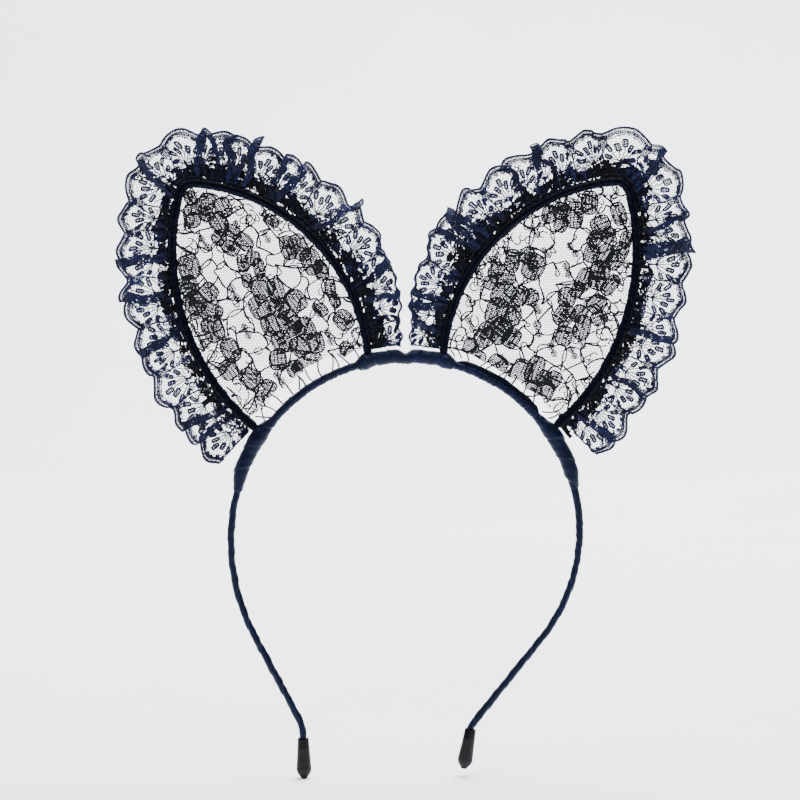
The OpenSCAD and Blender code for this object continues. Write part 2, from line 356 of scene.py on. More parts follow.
def inside_outline(points, outline):
    """Which points lie inside a closed outline."""
    x, y = points[:, 0], points[:, 1]
    hit = np.zeros(len(points), bool)
    for (x0, y0), (x1, y1) in zip(outline, np.roll(outline, -1, axis=0)):
        if y0 != y1:
            hit ^= ((y0 > y) != (y1 > y)) & (x < (x1 - x0) * (y - y0) / (y1 - y0) + x0)
    return hit


# ---- materials ----

class Shader:
    """A material of nodes, and short ways to add and link them."""

    def __init__(self, name):
        self.material = bpy.data.materials.new(name)
        self.material.use_nodes = True
        self.tree = self.material.node_tree
        self.surface = self.tree.nodes["Principled BSDF"]
        self.coordinates = self.node("TexCoord").outputs

    def put(self, socket, value):
        """Links a socket to another one, or sets it to a plain value."""
        if isinstance(value, bpy.types.NodeSocket):
            self.tree.links.new(value, socket)
        else:
            socket.default_value = value

    def node(self, kind, inputs=None, **settings):
        node = self.tree.nodes.new("ShaderNode" + kind)
        for key, value in settings.items():
            setattr(node, key, value)
        for key, value in (inputs or {}).items():
            self.put(node.inputs[key], value)
        return node

    def noise(self, scale, detail=2.0, at=None):
        """Noise from 0 to 1, scale to the metre, over the object or over other coordinates."""
        at = self.coordinates["Object"] if at is None else at
        return self.node("TexNoise", {"Vector": at, "Scale": scale, "Detail": detail}).outputs["Fac"]

    def stretched(self, at, *scale):
        """Coordinates scaled along each axis."""
        return self.node("Mapping", {"Vector": at, "Scale": scale}).outputs["Vector"]

    def ramp(self, value, *stops):
        """A colour for a value from 0 to 1, from stops of (value, colour)."""
        node = self.node("ValToRGB", {"Fac": value})
        elements = node.color_ramp.elements
        while len(elements) < len(stops):
            elements.new(0.5)
        for element, (at, colour) in zip(elements, stops):
            element.position = at
            element.color = (*colour, 1)
        return node.outputs["Color"]

    def spread(self, value, low, high):
        """A value from 0 to 1 as one from low to high."""
        inputs = {"Value": value, "To Min": low, "To Max": high}
        return self.node("MapRange", inputs).outputs["Result"]

    def blend(self, fac, a, b):
        return self.node("Mix", {0: fac, 2: a, 3: b}).outputs[0]

    def mix(self, fac, a, b, blend="MIX"):
        """Two colours mixed."""
        inputs = {0: fac, 6: a, 7: b}
        return self.node("Mix", inputs, data_type="RGBA", blend_type=blend).outputs[2]

    def set(self, **inputs):
        for key, value in inputs.items():
            self.put(self.surface.inputs[key.replace("_", " ")], value)

    def bump(self, height, distance, strength=1.0, normal=None):
        """The surface's direction on bumps of a height, over another one's if it is given."""
        inputs = {"Height": height, "Distance": distance, "Strength": strength}
        if normal is not None:
            inputs["Normal"] = normal
        return self.node("Bump", inputs).outputs["Normal"]


def satin(name, dark, usual, pale, gloss):
    """Navy satin ribbon: fine threads along the ribbon, a soft sheen, and painted highlights as paler
    patches at random.
    """
    m = Shader(name)
    ribbon = m.node("UVMap", uv_map="ribbon").outputs["UV"]
    yarn = m.noise(3.0, 4.0, m.stretched(ribbon, 0.35, 14.0, 1.0))
    weave = m.node("TexWave", {"Vector": ribbon, "Scale": 7.0, "Distortion": 0.6, "Detail": 2.0},
                   bands_direction="X").outputs["Fac"]
    # The pale stop is the ribbon's highlight tone, painted into its colour in random patches: painted
    # highlight.
    colour = m.ramp(m.noise(260.0, 3.0), (0.3, dark), (0.55, usual), (0.75, pale))
    shine = m.ramp(yarn, (0.35, (0.55, 0.55, 0.6)), (0.7, (1.0, 1.0, 1.0)))
    m.set(Base_Color=m.mix(0.75, colour, shine, "MULTIPLY"), Roughness=m.spread(yarn, 0.26, 0.44),
          Sheen_Weight=0.03, Sheen_Roughness=0.35, Sheen_Tint=(0.3, 0.4, 0.9, 1),
          Specular_IOR_Level=gloss, Specular_Tint=(0.4, 0.52, 1.0, 1), Anisotropic=0.35)
    m.set(Normal=m.bump(yarn, 0.00006, 0.8, m.bump(weave, 0.00003, 0.5)))
    return m.material


def lace(name, dark, usual, pale, sheen, gloss=0.25):
    """Polyester lace thread: twisted, with darker and paler stretches."""
    m = Shader(name)
    twist = m.noise(5200.0)
    tone = m.blend(0.6, m.noise(95.0, 3.0), m.noise(1000.0))
    base = m.ramp(tone, (0.36, dark), (0.5, usual), (0.66, pale))
    shade = m.ramp(twist, (0.3, (0.6, 0.6, 0.64)), (0.7, (1.0, 1.0, 1.0)))
    m.set(Base_Color=m.mix(0.8, base, shade, "MULTIPLY"), Roughness=m.spread(twist, 0.5, 0.72),
          Sheen_Weight=sheen, Sheen_Roughness=0.5, Sheen_Tint=(0.3, 0.4, 0.9, 1),
          Specular_IOR_Level=gloss, Normal=m.bump(twist, 0.00003, 0.6))
    return m.material


def rubber():
    """Moulded rubber: charcoal and dull below, glossy black where the wire enters, with scuffs."""
    m = Shader("black_rubber")
    height = m.node("SeparateXYZ", {"Vector": m.coordinates["Generated"]}).outputs["Z"]
    wave = m.noise(420.0)
    uneven = {0: height, 1: m.spread(wave, -0.05, 0.05)}
    edge = m.node("Math", uneven, operation="ADD").outputs["Value"]
    glossy = m.ramp(edge, (0.74, (0, 0, 0)), (0.78, (1, 1, 1)))
    scuff = m.noise(3400.0, 5.0, m.stretched(m.coordinates["Object"], 1.0, 1.0, 0.12))
    dull = m.ramp(scuff, (0.4, (0.0026, 0.0027, 0.0032)), (0.8, (0.0085, 0.0088, 0.01)))
    black = m.ramp(scuff, (0.45, (0.0015, 0.0015, 0.002)), (0.8, (0.005, 0.0052, 0.0065)))
    roughness = m.blend(glossy, m.spread(scuff, 0.4, 0.62), m.spread(scuff, 0.12, 0.24))
    m.set(Base_Color=m.mix(glossy, dull, black), Roughness=roughness,
          Specular_IOR_Level=m.spread(glossy, 0.18, 0.09),
          Normal=m.bump(wave, 0.00012, 0.5, m.bump(scuff, 0.00001, 0.4)))
    return m.material


def steel():
    """Drawn steel wire: bright, with fine marks along it."""
    m = Shader("drawn_steel")
    marks = m.noise(2600.0, 6.0)
    colour = m.ramp(marks, (0.35, (0.3, 0.3, 0.31)), (0.7, (0.5, 0.5, 0.52)))
    m.set(Base_Color=colour, Metallic=1.0,
          Roughness=m.spread(marks, 0.22, 0.4), Normal=m.bump(marks, 0.00001, 0.4))
    return m.material


# The third colour of each satin is a painted highlight tone.
SATIN = satin("navy_satin", (0.0004, 0.0006, 0.0036), (0.0009, 0.0014, 0.0092),
              (0.0024, 0.004, 0.027), 0.24)
# The same navy satin darkened for the ear frames and the hem: painted shade.
SATIN_PAINTED_SHADE = satin("navy_satin_painted_shade", (0.0002, 0.0003, 0.0011), (0.0004, 0.0005, 0.0024),
                   (0.0009, 0.0014, 0.0065), 0.11)
PANEL_LACE = lace("panel_lace", (0.0008, 0.001, 0.0028), (0.0015, 0.002, 0.0055),
                  (0.003, 0.0042, 0.013), 0.02)
RUFFLE_LACE = lace("ruffle_lace", (0.0014, 0.0024, 0.014), (0.0036, 0.0066, 0.042),
                   (0.0095, 0.017, 0.1), 0.05)
# The edging's lace where it is gathered at the frame, much darker: partly the lace's navy, partly painted
# shade of its dense gathers.
HEADING_LACE_PAINTED_SHADE = lace("heading_lace_painted_shade", (0.0002, 0.0003, 0.0014), (0.0005, 0.0008, 0.0038),
                    (0.002, 0.0034, 0.018), 0.0, 0.1)
THREAD = lace("sewing_thread", (0.0008, 0.001, 0.003), (0.0016, 0.0023, 0.008),
              (0.0035, 0.005, 0.017), 0.02)
RUBBER = rubber()
STEEL = steel()


# ---- satin-wound wire ----

SIDES = (("left", -1), ("right", 1))
LAP = 0.9  # share of a turn over which the ribbon rises from under the next turn
RING_STEP, RING_POINTS = 0.22, 30  # of a wound ribbon's mesh


def wound(name, route, s0, s1, size, pitch, seed, side=1, lift=0.26, out=0.0, thins=None, knot=None,
          material=SATIN):
    """Satin ribbon wound round a wire: each turn lies over the last one's edge.

    size is (radius in the drawing plane, radius front to back), pitch the length of one turn, lift
    the ribbon's rise over a turn, and out how far the middle lies off the route. thins is (radius
    it thins to, length of that at the start, at the end), and knot (place along the route, half
    length, height) of a lump.
    """
    noise = Noise(seed)
    rings, around = max(8, int((s1 - s0) / RING_STEP)), RING_POINTS
    s = np.linspace(s0, s1, rings)[:, None]
    turn = np.linspace(0, 2 * np.pi, around, endpoint=False)[None, :]
    place = np.broadcast_to(s, (rings, around))
    wander = 0.55 * noise(place / (1.7 * pitch), 3.3)
    winding = place / pitch + wander - turn / (2 * np.pi)
    which = np.floor(winding)
    lap = winding - which
    step = np.where(lap < LAP, 0.25 + 0.75 * lap / LAP, 1 - (lap - LAP) / 0.1)
    tightness = 0.5 + 0.5 * noise(which * 7.13, seed)
    folds = 0.05 * np.sin(2 * np.pi * (2.6 * lap + noise(which * 3.7, 1.1)))
    lumps = 0.07 * noise(place / 2.6, turn * 0.9) + 0.06 * noise(place / 7.0, 9.0)
    grow = lift * (step - 0.75) * (0.6 + 0.8 * tightness) + folds + lumps
    taper = 1 - 0.25 * np.exp(-((s1 - place) / 0.5) ** 2)
    if thins:
        thin, first_length, last_length = thins
        full = np.clip(np.minimum((place - s0) / first_length, (s1 - place) / last_length), 0, 1)
        full = full * full * (3 - 2 * full)
        size = [thin + (one - thin) * full for one in size]
        out = out * full[:, 0]
    else:
        taper = taper - 0.25 * np.exp(-((place - s0) / 0.5) ** 2)
    if knot:
        at, half_length, height = knot
        lump = height * np.exp(-((place - at) / half_length) ** 2)
        grow = grow + lump * (1 + 0.35 * noise(place / 1.6, turn * 1.6))
    p, a = route.at(s[:, 0])
    out = np.broadcast_to(out, (rings,))[:, None]
    flat = out + (size[0] + grow) * taper * np.cos(turn)
    deep = (size[1] + grow) * taper * np.sin(turn)
    outward = polar(0, 1, a)
    x, z = p[:, :1] + outward[:, :1] * flat, p[:, 1:] + outward[:, 1:] * flat
    points = stacked(x, deep, z).reshape(-1, 3)
    x, z = (p + outward * out)[[0, -1]].T
    ends = stacked(x, 0.0, z)
    k = np.arange(around)
    nxt = (k + 1) % around
    start = (np.arange(rings - 1) * around)[:, None]
    walls = stacked(start + k, start + nxt, start + around + nxt, start + around + k)
    last = (rings - 1) * around
    low = stacked(nxt, k, rings * around)
    high = stacked(last + k, last + nxt, rings * around + 1)
    obj = piece(name, np.concatenate([points, ends]), [walls.reshape(-1, 4), low, high], material,
                "navy_satin", side, planar_uv=False)
    # The ribbon's own directions: u runs along it and v across it, from one edge to the other.
    uv = stacked(place * 0.5 + turn * CROWN_D / 2, lap)
    uv = np.concatenate([uv.reshape(-1, 2), np.zeros((2, 2))])
    corner = np.zeros(len(obj.data.loops), int)
    obj.data.loops.foreach_get("vertex_index", corner)
    obj.data.uv_layers.new(name="ribbon").data.foreach_set("uv", uv[corner].ravel())
    return obj


def wire(name, route, s0, s1, radius, side):
    """The bare wire inside an arm's ribbon."""
    s = np.linspace(s0, s1, int((s1 - s0) / 1.0))
    p, _ = route.at(s)
    line = stacked(p[:, 0], 0.0, p[:, 1])
    points, faces = threads(line[:-1], line[1:], radius, 10)
    return piece(name, points, faces, STEEL, "spring_steel", side)


class BothHalves:
    """The band's route from one flex point to the other, with 0 at the top."""

    def at(self, s):
        p, a = half_bands["right"].at(np.abs(s))
        p = p * stacked(np.where(s < 0, -1, 1), 1)
        return p, np.where(s < 0, np.pi - a, a)


def crown():
    """The crown's ribbon, and the bindings over the ear frames' feet."""
    radius = CROWN_D / 2 - 0.02
    obj = wound("crown_wrap", BothHalves(), -flex_s, flex_s, (radius, radius), 5.2, 11)
    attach(obj, "crown")
    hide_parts("crown_ribbon")
    for name, side in SIDES:
        for where in ("inner", "outer"):
            if where == "outer":
                s0, s1 = BAND_R * FOOT_OUT - 6.0, BAND_R * TAIL_OUT_END + 6.5
                grown, pitch, seed = 0.35, 8.6, 28 + side
                thins = (CROWN_D / 2 + 0.12, 6.5, 7.5)
                knot = (s0 + 8.5, 3.2, 0.3)
            else:
                s0, s1 = 0.02, BAND_R * FOOT_IN + 4.6
                grown, pitch, seed = 0.1, 6.0, 21 + side
                thins = (CROWN_D / 2 + 0.5, 2.6, 3.6)
                knot = (s1 - 3.4, 1.7, 0.8 if name == "left" else 0.45)
            size = (CROWN_D + EAR_WIRE_D) / 2 + WRAP + grown / 2, CROWN_D / 2 + WRAP + grown
            obj = wound(f"foot_wrap_{where}_{name}", half_bands[name], s0, s1, size, pitch, seed,
                        side, lift=0.4, out=FOOT_RISE / 2 - 0.35, thins=thins, knot=knot)
            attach(obj, "crown")
            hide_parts(f"foot_binding_{where}_{name}")


def hem():
    """The right panel's cut edge, rolled and bound along the band's top between the ear's feet."""
    s0, s1 = BAND_R * FOOT_IN + 2.5, BAND_R * FOOT_OUT - 4.5
    # Wound in the satin darkened with painted shade.
    obj = wound("panel_hem_right", half_bands["right"], s0, s1, (HEM_D / 2, HEM_D / 2 + 0.2), 11.0,
                27, lift=0.25, out=HEM_RISE, thins=(0.5, 6.0, 5.0), material=SATIN_PAINTED_SHADE)
    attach(obj, "crown")


BLEND_LENGTH = 48.0  # a length of arm from its flex point


def arms():
    """Each arm's wire and ribbon, and its end cap's rubber."""
    radius = ARM_D / 2 - 0.03
    for name, side in SIDES:
        route = half_bands[name]
        end = route.length - WIRE_IN_CAP + RIBBON_IN_CAP - 0.2
        core = wire(f"arm_core_{name}", route, flex_s - 1.0, route.length - 0.3, BAND_WIRE_D / 2,
                    side)
        cover = wound(f"arm_wrap_{name}", route, flex_s - 2.0, end, (radius, radius), 9.0,
                      31 + side, side, lift=0.3)
        from_, _ = route.at(np.array([flex_s]))
        to, _ = route.at(np.array([flex_s + BLEND_LENGTH]))
        for obj, node in ((core, f"arm_wire_{name}"), (cover, f"arm_ribbon_{name}")):
            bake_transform(obj)
            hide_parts(node)
        recolour(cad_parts[f"end_cap_{name}"], RUBBER)


def recolour(node, material):
    """Gives a CAD piece another material."""
    node.data.materials.clear()
    node.data.materials.append(material)


def ear_frames():
    """The ribbon round each ear frame's wire."""
    radius = EAR_D / 2 - 0.05
    for name, side in SIDES:
        # The frame's ribbon is the band's satin, darkened with painted shade.
        obj = wound(f"ear_wrap_{name}", ear_frame, 0.9, ear_frame.length - 0.9, (radius, radius),
                    6.2, 41 + side, side, material=SATIN_PAINTED_SHADE)
        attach(obj, f"ear_{name}")
        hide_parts(f"ear_ribbon_{name}")


# ---- the gathered lace edging ----

def fold_line(noise, slant, k, v):
    """How far fold k has wandered sideways at v across the edging."""
    return slant * (v - 8) / 8 + 1.2 * noise(v / 4.0, 3.1 * k)


class Ruffle:
    """Carries points of the flat edging, (along, across), to where it stands round an ear."""

    ROWS = np.linspace(-1.0, 19.0, 21)  # across the edging
    STEP = 0.2  # along the flat edging
    FRAME_STEP = 0.25  # along the ear frame
    FAN_HALF = 50  # frame steps, each way, over which the edging takes up the frame's turns

    def __init__(self, start, end, seed):
        rng = np.random.default_rng(seed)
        self.noise = Noise(seed + 100)
        self.s = np.arange(start, end, self.FRAME_STEP)
        _, a = ear_frame.at(self.s)
        # The edging can't turn as sharply as the frame's tip, so its ribs fan out over more of it.
        window = np.hanning(2 * self.FAN_HALF + 1)
        window /= window.sum()
        self.angle = np.convolve(np.pad(a, self.FAN_HALF, "edge"), window, "valid")
        self.fan = np.abs(np.gradient(self.angle, self.s))
        reach = running((1 + FAN_AT * self.fan)[:-1] * self.FRAME_STEP)
        self.count = int(round(reach[-1] / VISIBLE_REPEAT))
        self.length = self.count * REPEAT
        self.u = np.arange(0, self.length + self.STEP, self.STEP)
        # A fold near each valley; back is the flat length in it that runs backwards, slant its
        # lean across the edging, and stand how far its outer end stands up.
        n = self.count + 1
        at = REPEAT * np.arange(n) + rng.uniform(-2.4, 2.4, n)
        at[0], at[-1] = -1.0, self.length + 1.0
        middles = np.concatenate([[0], (at[1:] + at[:-1]) / 2, [self.length]])
        back = rng.uniform(2.2, 3.9, n)
        back[rng.random(n) < 0.42] = 0.4
        back = np.minimum(back, 0.5 * (np.diff(middles) - 3.2).clip(0.6))
        slant = rng.uniform(-2.4, 2.4, n)
        flare = rng.uniform(0.0, 0.6, n)
        lean = rng.choice([-1, 1], n)
        depth = rng.uniform(0.8, 1.5, n)
        swell = rng.uniform(0.5, 1.5, n)
        stand = rng.choice([-0.5, 0.0, 0.6, 1.6], n) * (back > 1)
        self.folds = [fold for fold in zip(at, back, slant, range(n)) if fold[1] > 1]
        seen = running(np.diff(middles) - 2 * back)
        seen = np.interp(seen * reach[-1] / seen[-1], reach, self.s)
        on_frame = np.interp(self.u, middles, seen)
        slide = np.zeros((len(self.ROWS), len(self.u)))
        rise, extend = np.zeros_like(slide), np.zeros_like(slide)
        for row, v in enumerate(self.ROWS):
            up = max(v, 0)
            stretch = 1 + up * np.interp(on_frame, self.s, self.fan)
            speed = np.zeros(len(self.u))
            for k in range(n):
                here = (self.u >= middles[k]) & (self.u <= middles[k + 1])
                line = at[k] + fold_line(self.noise, slant[k], k, v)
                t = (self.u - line) / (0.5 * back[k] * (1 + flare[k] * (v - 8) / 8))
                pulse = np.exp(-t ** 4)
                rear = 1 / stretch[here].mean()
                total = pulse[here].sum() * self.STEP
                ahead = (seen[k + 1] - seen[k] + rear * total) / (here.sum() * self.STEP - total)
                speed[here] = ahead - (ahead + rear) * pulse[here]
                height = (0.45 + 0.075 * up) * depth[k] * min(1.0, back[k] / 1.8)
                rise[row] += lean[k] * height * np.tanh(1.5 * t) * np.exp(-(t / 3.0) ** 2)
                extend[row] += stand[k] * np.exp(-(t / 1.3) ** 4) * (up / 16) ** 3
            slide[row] = on_frame[0] + np.cumsum(speed) * self.STEP
            wave = np.interp(self.u, at, swell * np.where(np.arange(n) % 2, 1, -1))
            rise[row] += 0.11 * up ** 0.95 * wave
            rise[row] += 0.045 * up * self.noise(self.u / 4.4, v / 5 + 7)
            gathers = np.sin(self.u * 2 * np.pi / 4.1 + 2.2 * self.noise(self.u / 9, 5.0))
            rise[row] += 0.62 * np.exp(-(up / 4.2) ** 2) * gathers
        self.slide, self.rise, self.extend = slide, rise, extend

    def __call__(self, flat, lift=0.0):
        u, v = flat[:, 0], flat[:, 1]
        i = np.clip(u / self.STEP, 0, len(self.u) - 2.001)
        j = np.clip((v - self.ROWS[0]) / (self.ROWS[1] - self.ROWS[0]), 0, len(self.ROWS) - 1.001)
        i0, j0 = i.astype(int), j.astype(int)
        fi, fj = i - i0, j - j0

        def at(table):
            low = table[j0, i0] * (1 - fi) + table[j0, i0 + 1] * fi
            high = table[j0 + 1, i0] * (1 - fi) + table[j0 + 1, i0 + 1] * fi
            return low * (1 - fj) + high * fj

        s, y = at(self.slide), at(self.rise)
        s = s + 0.55 * self.noise(u / 4.0, v / 4.5 + 11) * np.clip(v / 8, 0, 1)
        p, _ = ear_frame.at(np.clip(s, self.s[0], self.s[-1]))
        along = s - np.clip(s, self.s[0], self.s[-1])
        angle = np.interp(s, self.s, self.angle)
        out = ROOT + v * (1 + 0.05 * self.noise(u / 6.0, 2.0)) + 0.35 * self.noise(u / 2.6, v / 6)
        out = out + at(self.extend)
        outward = polar(0, 1, angle)
        ahead = stacked(outward[:, 1], -outward[:, 0])
        flat_place = p + outward * out[:, None] + ahead * along[:, None]
        x, z, y = settled(flat_place[:, 0], flat_place[:, 1], y + lift)
        return stacked(x, y, z)


def soft_floor(x, floor, softness=1.2):
    """x where it is well above floor, and otherwise a smooth approach to floor."""
    return floor + softness * np.logaddexp(0, (x - floor) / softness)


def settled(x, z, y):
    """Keeps the edging off the other ear and off the band; what is pushed back buckles."""
    wavy = 0.8 + 0.8 * np.sin(0.9 * z) * np.sin(0.37 * z + 1)
    gap = CENTRE_GAP + wavy + 0.33 * np.maximum(z - 24, 0)
    freed = soft_floor(x, gap)
    y = y - 0.28 * np.maximum(freed - x, 0) * np.sin(z * 0.9)
    away = np.hypot(freed - BAND_C[0], z - BAND_C[1])
    clear = soft_floor(away, BAND_R + CLEAR_OF_BAND, 0.8)
    grow = clear / away
    return BAND_C[0] + (freed - BAND_C[0]) * grow, BAND_C[1] + (z - BAND_C[1]) * grow, y


def edge_of(u):
    """The edging's width at some place along it: round scallops with soft valleys between."""
    wave = np.abs(np.sin(np.pi * u / REPEAT))
    return EDGE_AT + SCALLOP_RISE * (0.4 * wave + 0.6 * wave ** 2)


def finely(points, step=0.55):
    """The line again with points about step apart."""
    points = np.asarray(points, float)
    far = lengths(points)
    return between(np.linspace(0, far[-1], max(2, math.ceil(far[-1] / step) + 1)), far, points)


def laid(points, centre, angle):
    """Points turned by angle and moved to centre."""
    c, s = math.cos(angle), math.sin(angle)
    return np.asarray(centre) + points @ np.array([[c, s], [-s, c]])


def loop(centre, angle, half_length, half_width, n, power=2.8):
    """A ring of n segments, the more oblong the higher its power."""
    t = np.linspace(0, 2 * np.pi, n + 1)
    c, s = np.cos(t), np.sin(t)
    x = half_length * np.sign(c) * np.abs(c) ** (2 / power)
    y = half_width * np.sign(s) * np.abs(s) ** (2 / power)
    return laid(stacked(x, y), centre, angle)


def filled(drawing, centre, angle, half_length, half_width, rows, cols, radius, power, step=None):
    """Clothwork: a loop's threads, rows apart across it and cols apart along it."""

    def put(a, b, r):
        a, b = laid(a, centre, angle), laid(b, centre, angle)
        if step:
            for p, q in zip(a, b):
                drawing.line(finely([p, q], step), r)
        else:
            drawing.segments(a, b, r)

    x = np.arange(-half_length + rows / 2, half_length, rows)
    w = half_width * (1 - np.abs(x / half_length) ** power) ** (1 / power)
    put(stacked(x, -w), stacked(x, w), radius)
    y = np.arange(-half_width + cols / 2, half_width, cols)
    w = half_length * (1 - np.abs(y / half_width) ** power) ** (1 / power)
    put(stacked(-w, y), stacked(w, y), radius * 0.8)


def scallop_motif(drawing, rng, u0):
    """One repeat of the edging: a fan of small loops on branching stems, and clothwork beside it."""
    middle = u0 + REPEAT / 2
    foot = np.array([middle + rng.uniform(-0.5, 0.5), 2.6])
    top = foot + [rng.uniform(-0.3, 0.3), 3.0]
    for shift in (-0.12, 0.12):
        drawing.line(finely([foot + [shift, 0], top + [shift, 0]]), 0.19)
    for k, angle in enumerate(np.radians([24, 50, 72, 90, 108, 130, 156])):
        far = 3.7 + 1.6 * math.sin(angle) + (1.3 if k % 2 else 0)
        at = top + far * polar(0, 1, angle)
        drawing.line(loop(at, angle, 1.45, 0.72, 8, 5.0), 0.19)
        filled(drawing, at, angle, 1.3, 0.6, 0.52, 0.6, 0.19, 5.0)
        near = at - 1.4 * polar(0, 1, angle)
        bow = top + [0.55 * (near[0] - top[0]), 0.1 * (near[1] - top[1]) + 0.3]
        drawing.bow(top, bow, near, 0.17)
    # Low curls beside the stem.
    for side in (-1, 1):
        curl = foot + [side * 1.6, 0.4]
        drawing.bow(foot, foot + [side * 1.2, 1.9], curl + [side * 2.2, 0.6], 0.16)
        drawing.line(loop(curl + [side * 2.9, 0.3], 0.4 * side, 0.9, 0.55, 8), 0.19)
        drawing.bow(foot, foot + [side * 2.6, 0.4], curl + [side * 3.4, 3.4], 0.15)
    # Clothwork in the valley between two fans, and a sprig from it towards the root.
    filled(drawing, (u0, 12.4), math.pi / 2, 2.1, 1.6, 0.5, 0.62, 0.17, 3.0, 1.2)
    filled(drawing, (u0, 2.6), math.pi / 2, 1.9, 2.9, 0.46, 0.55, 0.17, 3.0, 1.2)
    drawing.bow((u0, 4.2), (u0 + rng.uniform(-0.8, 0.8), 7.5), (u0, 10.4), 0.26)
    for side in (-1, 1):
        sprig = curve((u0, 8.6), (u0 + 0.6 * side, 10.6), (u0 + 2.3 * side, 11.6), 6)
        drawing.line(finely(sprig), 0.17)


def border(drawing, count):
    """The scalloped border: a cord, a fine mesh band, more cords, and a band of clothwork."""

    def below(u, inset):
        return stacked(u, edge_of(u) - inset)

    u = np.arange(0, count * REPEAT + 0.01, 0.5)
    for inset, radius in ((0.0, 0.24), (0.35, 0.14), (1.35, 0.17), (2.7, 0.12)):
        drawing.line(below(u, inset), radius)
    fine = np.arange(0, count * REPEAT, 0.42)
    for shift in (-0.45, 0.45):
        drawing.segments(below(fine, 0.2), below(fine + shift, 1.35), 0.095)
    dense = np.arange(0, count * REPEAT, 0.36)
    depth = 2.5 + 0.8 * np.sin(dense * 2.9) * np.sin(dense * 0.83)
    drawing.segments(below(dense, 1.3), below(dense, depth) + [0.1, 0], 0.17)
    drawing.line(below(u, 1.9), 0.17)


def fold_work(drawing, noise, at, back, slant, k):
    """The clothwork that a fold gathers up, in uneven specks with holes between them."""
    for v in np.arange(1.4, EDGE_AT - 0.5, 0.42):
        middle = at + fold_line(noise, slant, k, v)
        reach = back * 0.75 + (1.3 + 0.17 * v) * (1 + 0.5 * math.sin(0.9 * v + at))
        u = np.arange(middle - reach, middle + reach, 0.45)
        off = np.abs(u - middle) / reach
        patch = 0.42 * math.sin(0.52 * v + 3 * at) + 0.7 * noise(u / 2.4, v / 1.7)
        limit = np.where(off < 0.45, 0.62, 0.16) + 0.6 * (off - 0.45).clip(0)
        solid = noise(u * 2.3, v * 1.9) + patch > limit
        a = stacked(u, v + 0.12 * np.sin(u * 9))[solid]
        drawing.segments(a, a + [0.52, 0.06], 0.17)
        drawing.segments(a, a + [0.14, 0.42], 0.11)


def specks(drawing, rng, noise, length):
    """The crowded work near the root, thinning out from it in uneven patches."""
    u = rng.uniform(0.5, length - 0.5, 5600)
    v = rng.gamma(2.0, 2.3, len(u))
    crowd = noise(u / 5.5, 3.0) + 0.6 * noise(u / 2.0, v / 2.0)
    keep = (v > 1.5) & (v < 11) & (crowd > 0.16 * v - 0.75)
    u, v = u[keep], v[keep]
    angle = rng.uniform(0, np.pi, len(u))
    half = rng.uniform(0.2, 0.5, len(u))[:, None] * polar(0, 1, angle)
    drawing.segments(stacked(u, v) - half, stacked(u, v) + half, rng.uniform(0.14, 0.24, len(u)))


def ruffles():
    """The edging of each ear: its net, and the work that is drawn on it."""
    for name, side in SIDES:
        ruffle = Ruffle(BARE_IN, ear_frame.length - BARE_OUT[name], 51 + side)
        rng = np.random.default_rng(61 + side)
        a, b = honeycomb((0, 0.0), (ruffle.length, 18), NET_CELL)

        def in_strip(p):
            return (p[:, 0] >= 0) & (p[:, 0] <= ruffle.length)

        def in_edging(p):
            return in_strip(p) & (p[:, 1] > 0) & (p[:, 1] < edge_of(p[:, 0]) - 0.1)

        keep = in_edging(a) & in_edging(b)
        net = piece(f"ruffle_net_{name}",
                    *threads(ruffle(a[keep]), ruffle(b[keep]), NET_THREAD, 3, closed=False),
                    RUFFLE_LACE, "navy_lace", side)
        motifs, edging, folds = Drawing(), Drawing(), Drawing()
        for k in range(ruffle.count + 1):
            scallop_motif(motifs, rng, k * REPEAT)
        border(edging, ruffle.count)
        for fold in ruffle.folds:
            fold_work(folds, ruffle.noise, *fold)
        specks(folds, rng, ruffle.noise, ruffle.length)
        on = []
        for label, drawing in (("motifs", motifs), ("border", edging), ("folds", folds)):
            a, b, r = drawing.kept(in_strip)
            prisms = threads(ruffle(a, -0.05), ruffle(b, -0.05), PRISM * r, 3)
            on.append(piece(f"ruffle_{label}_{name}", *prisms, RUFFLE_LACE, "navy_lace", side))
        for obj in (net, *on):
            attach(obj, f"ear_{name}")
        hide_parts(f"ruffle_{name}")
        on.append(heading(name, side, ruffle))


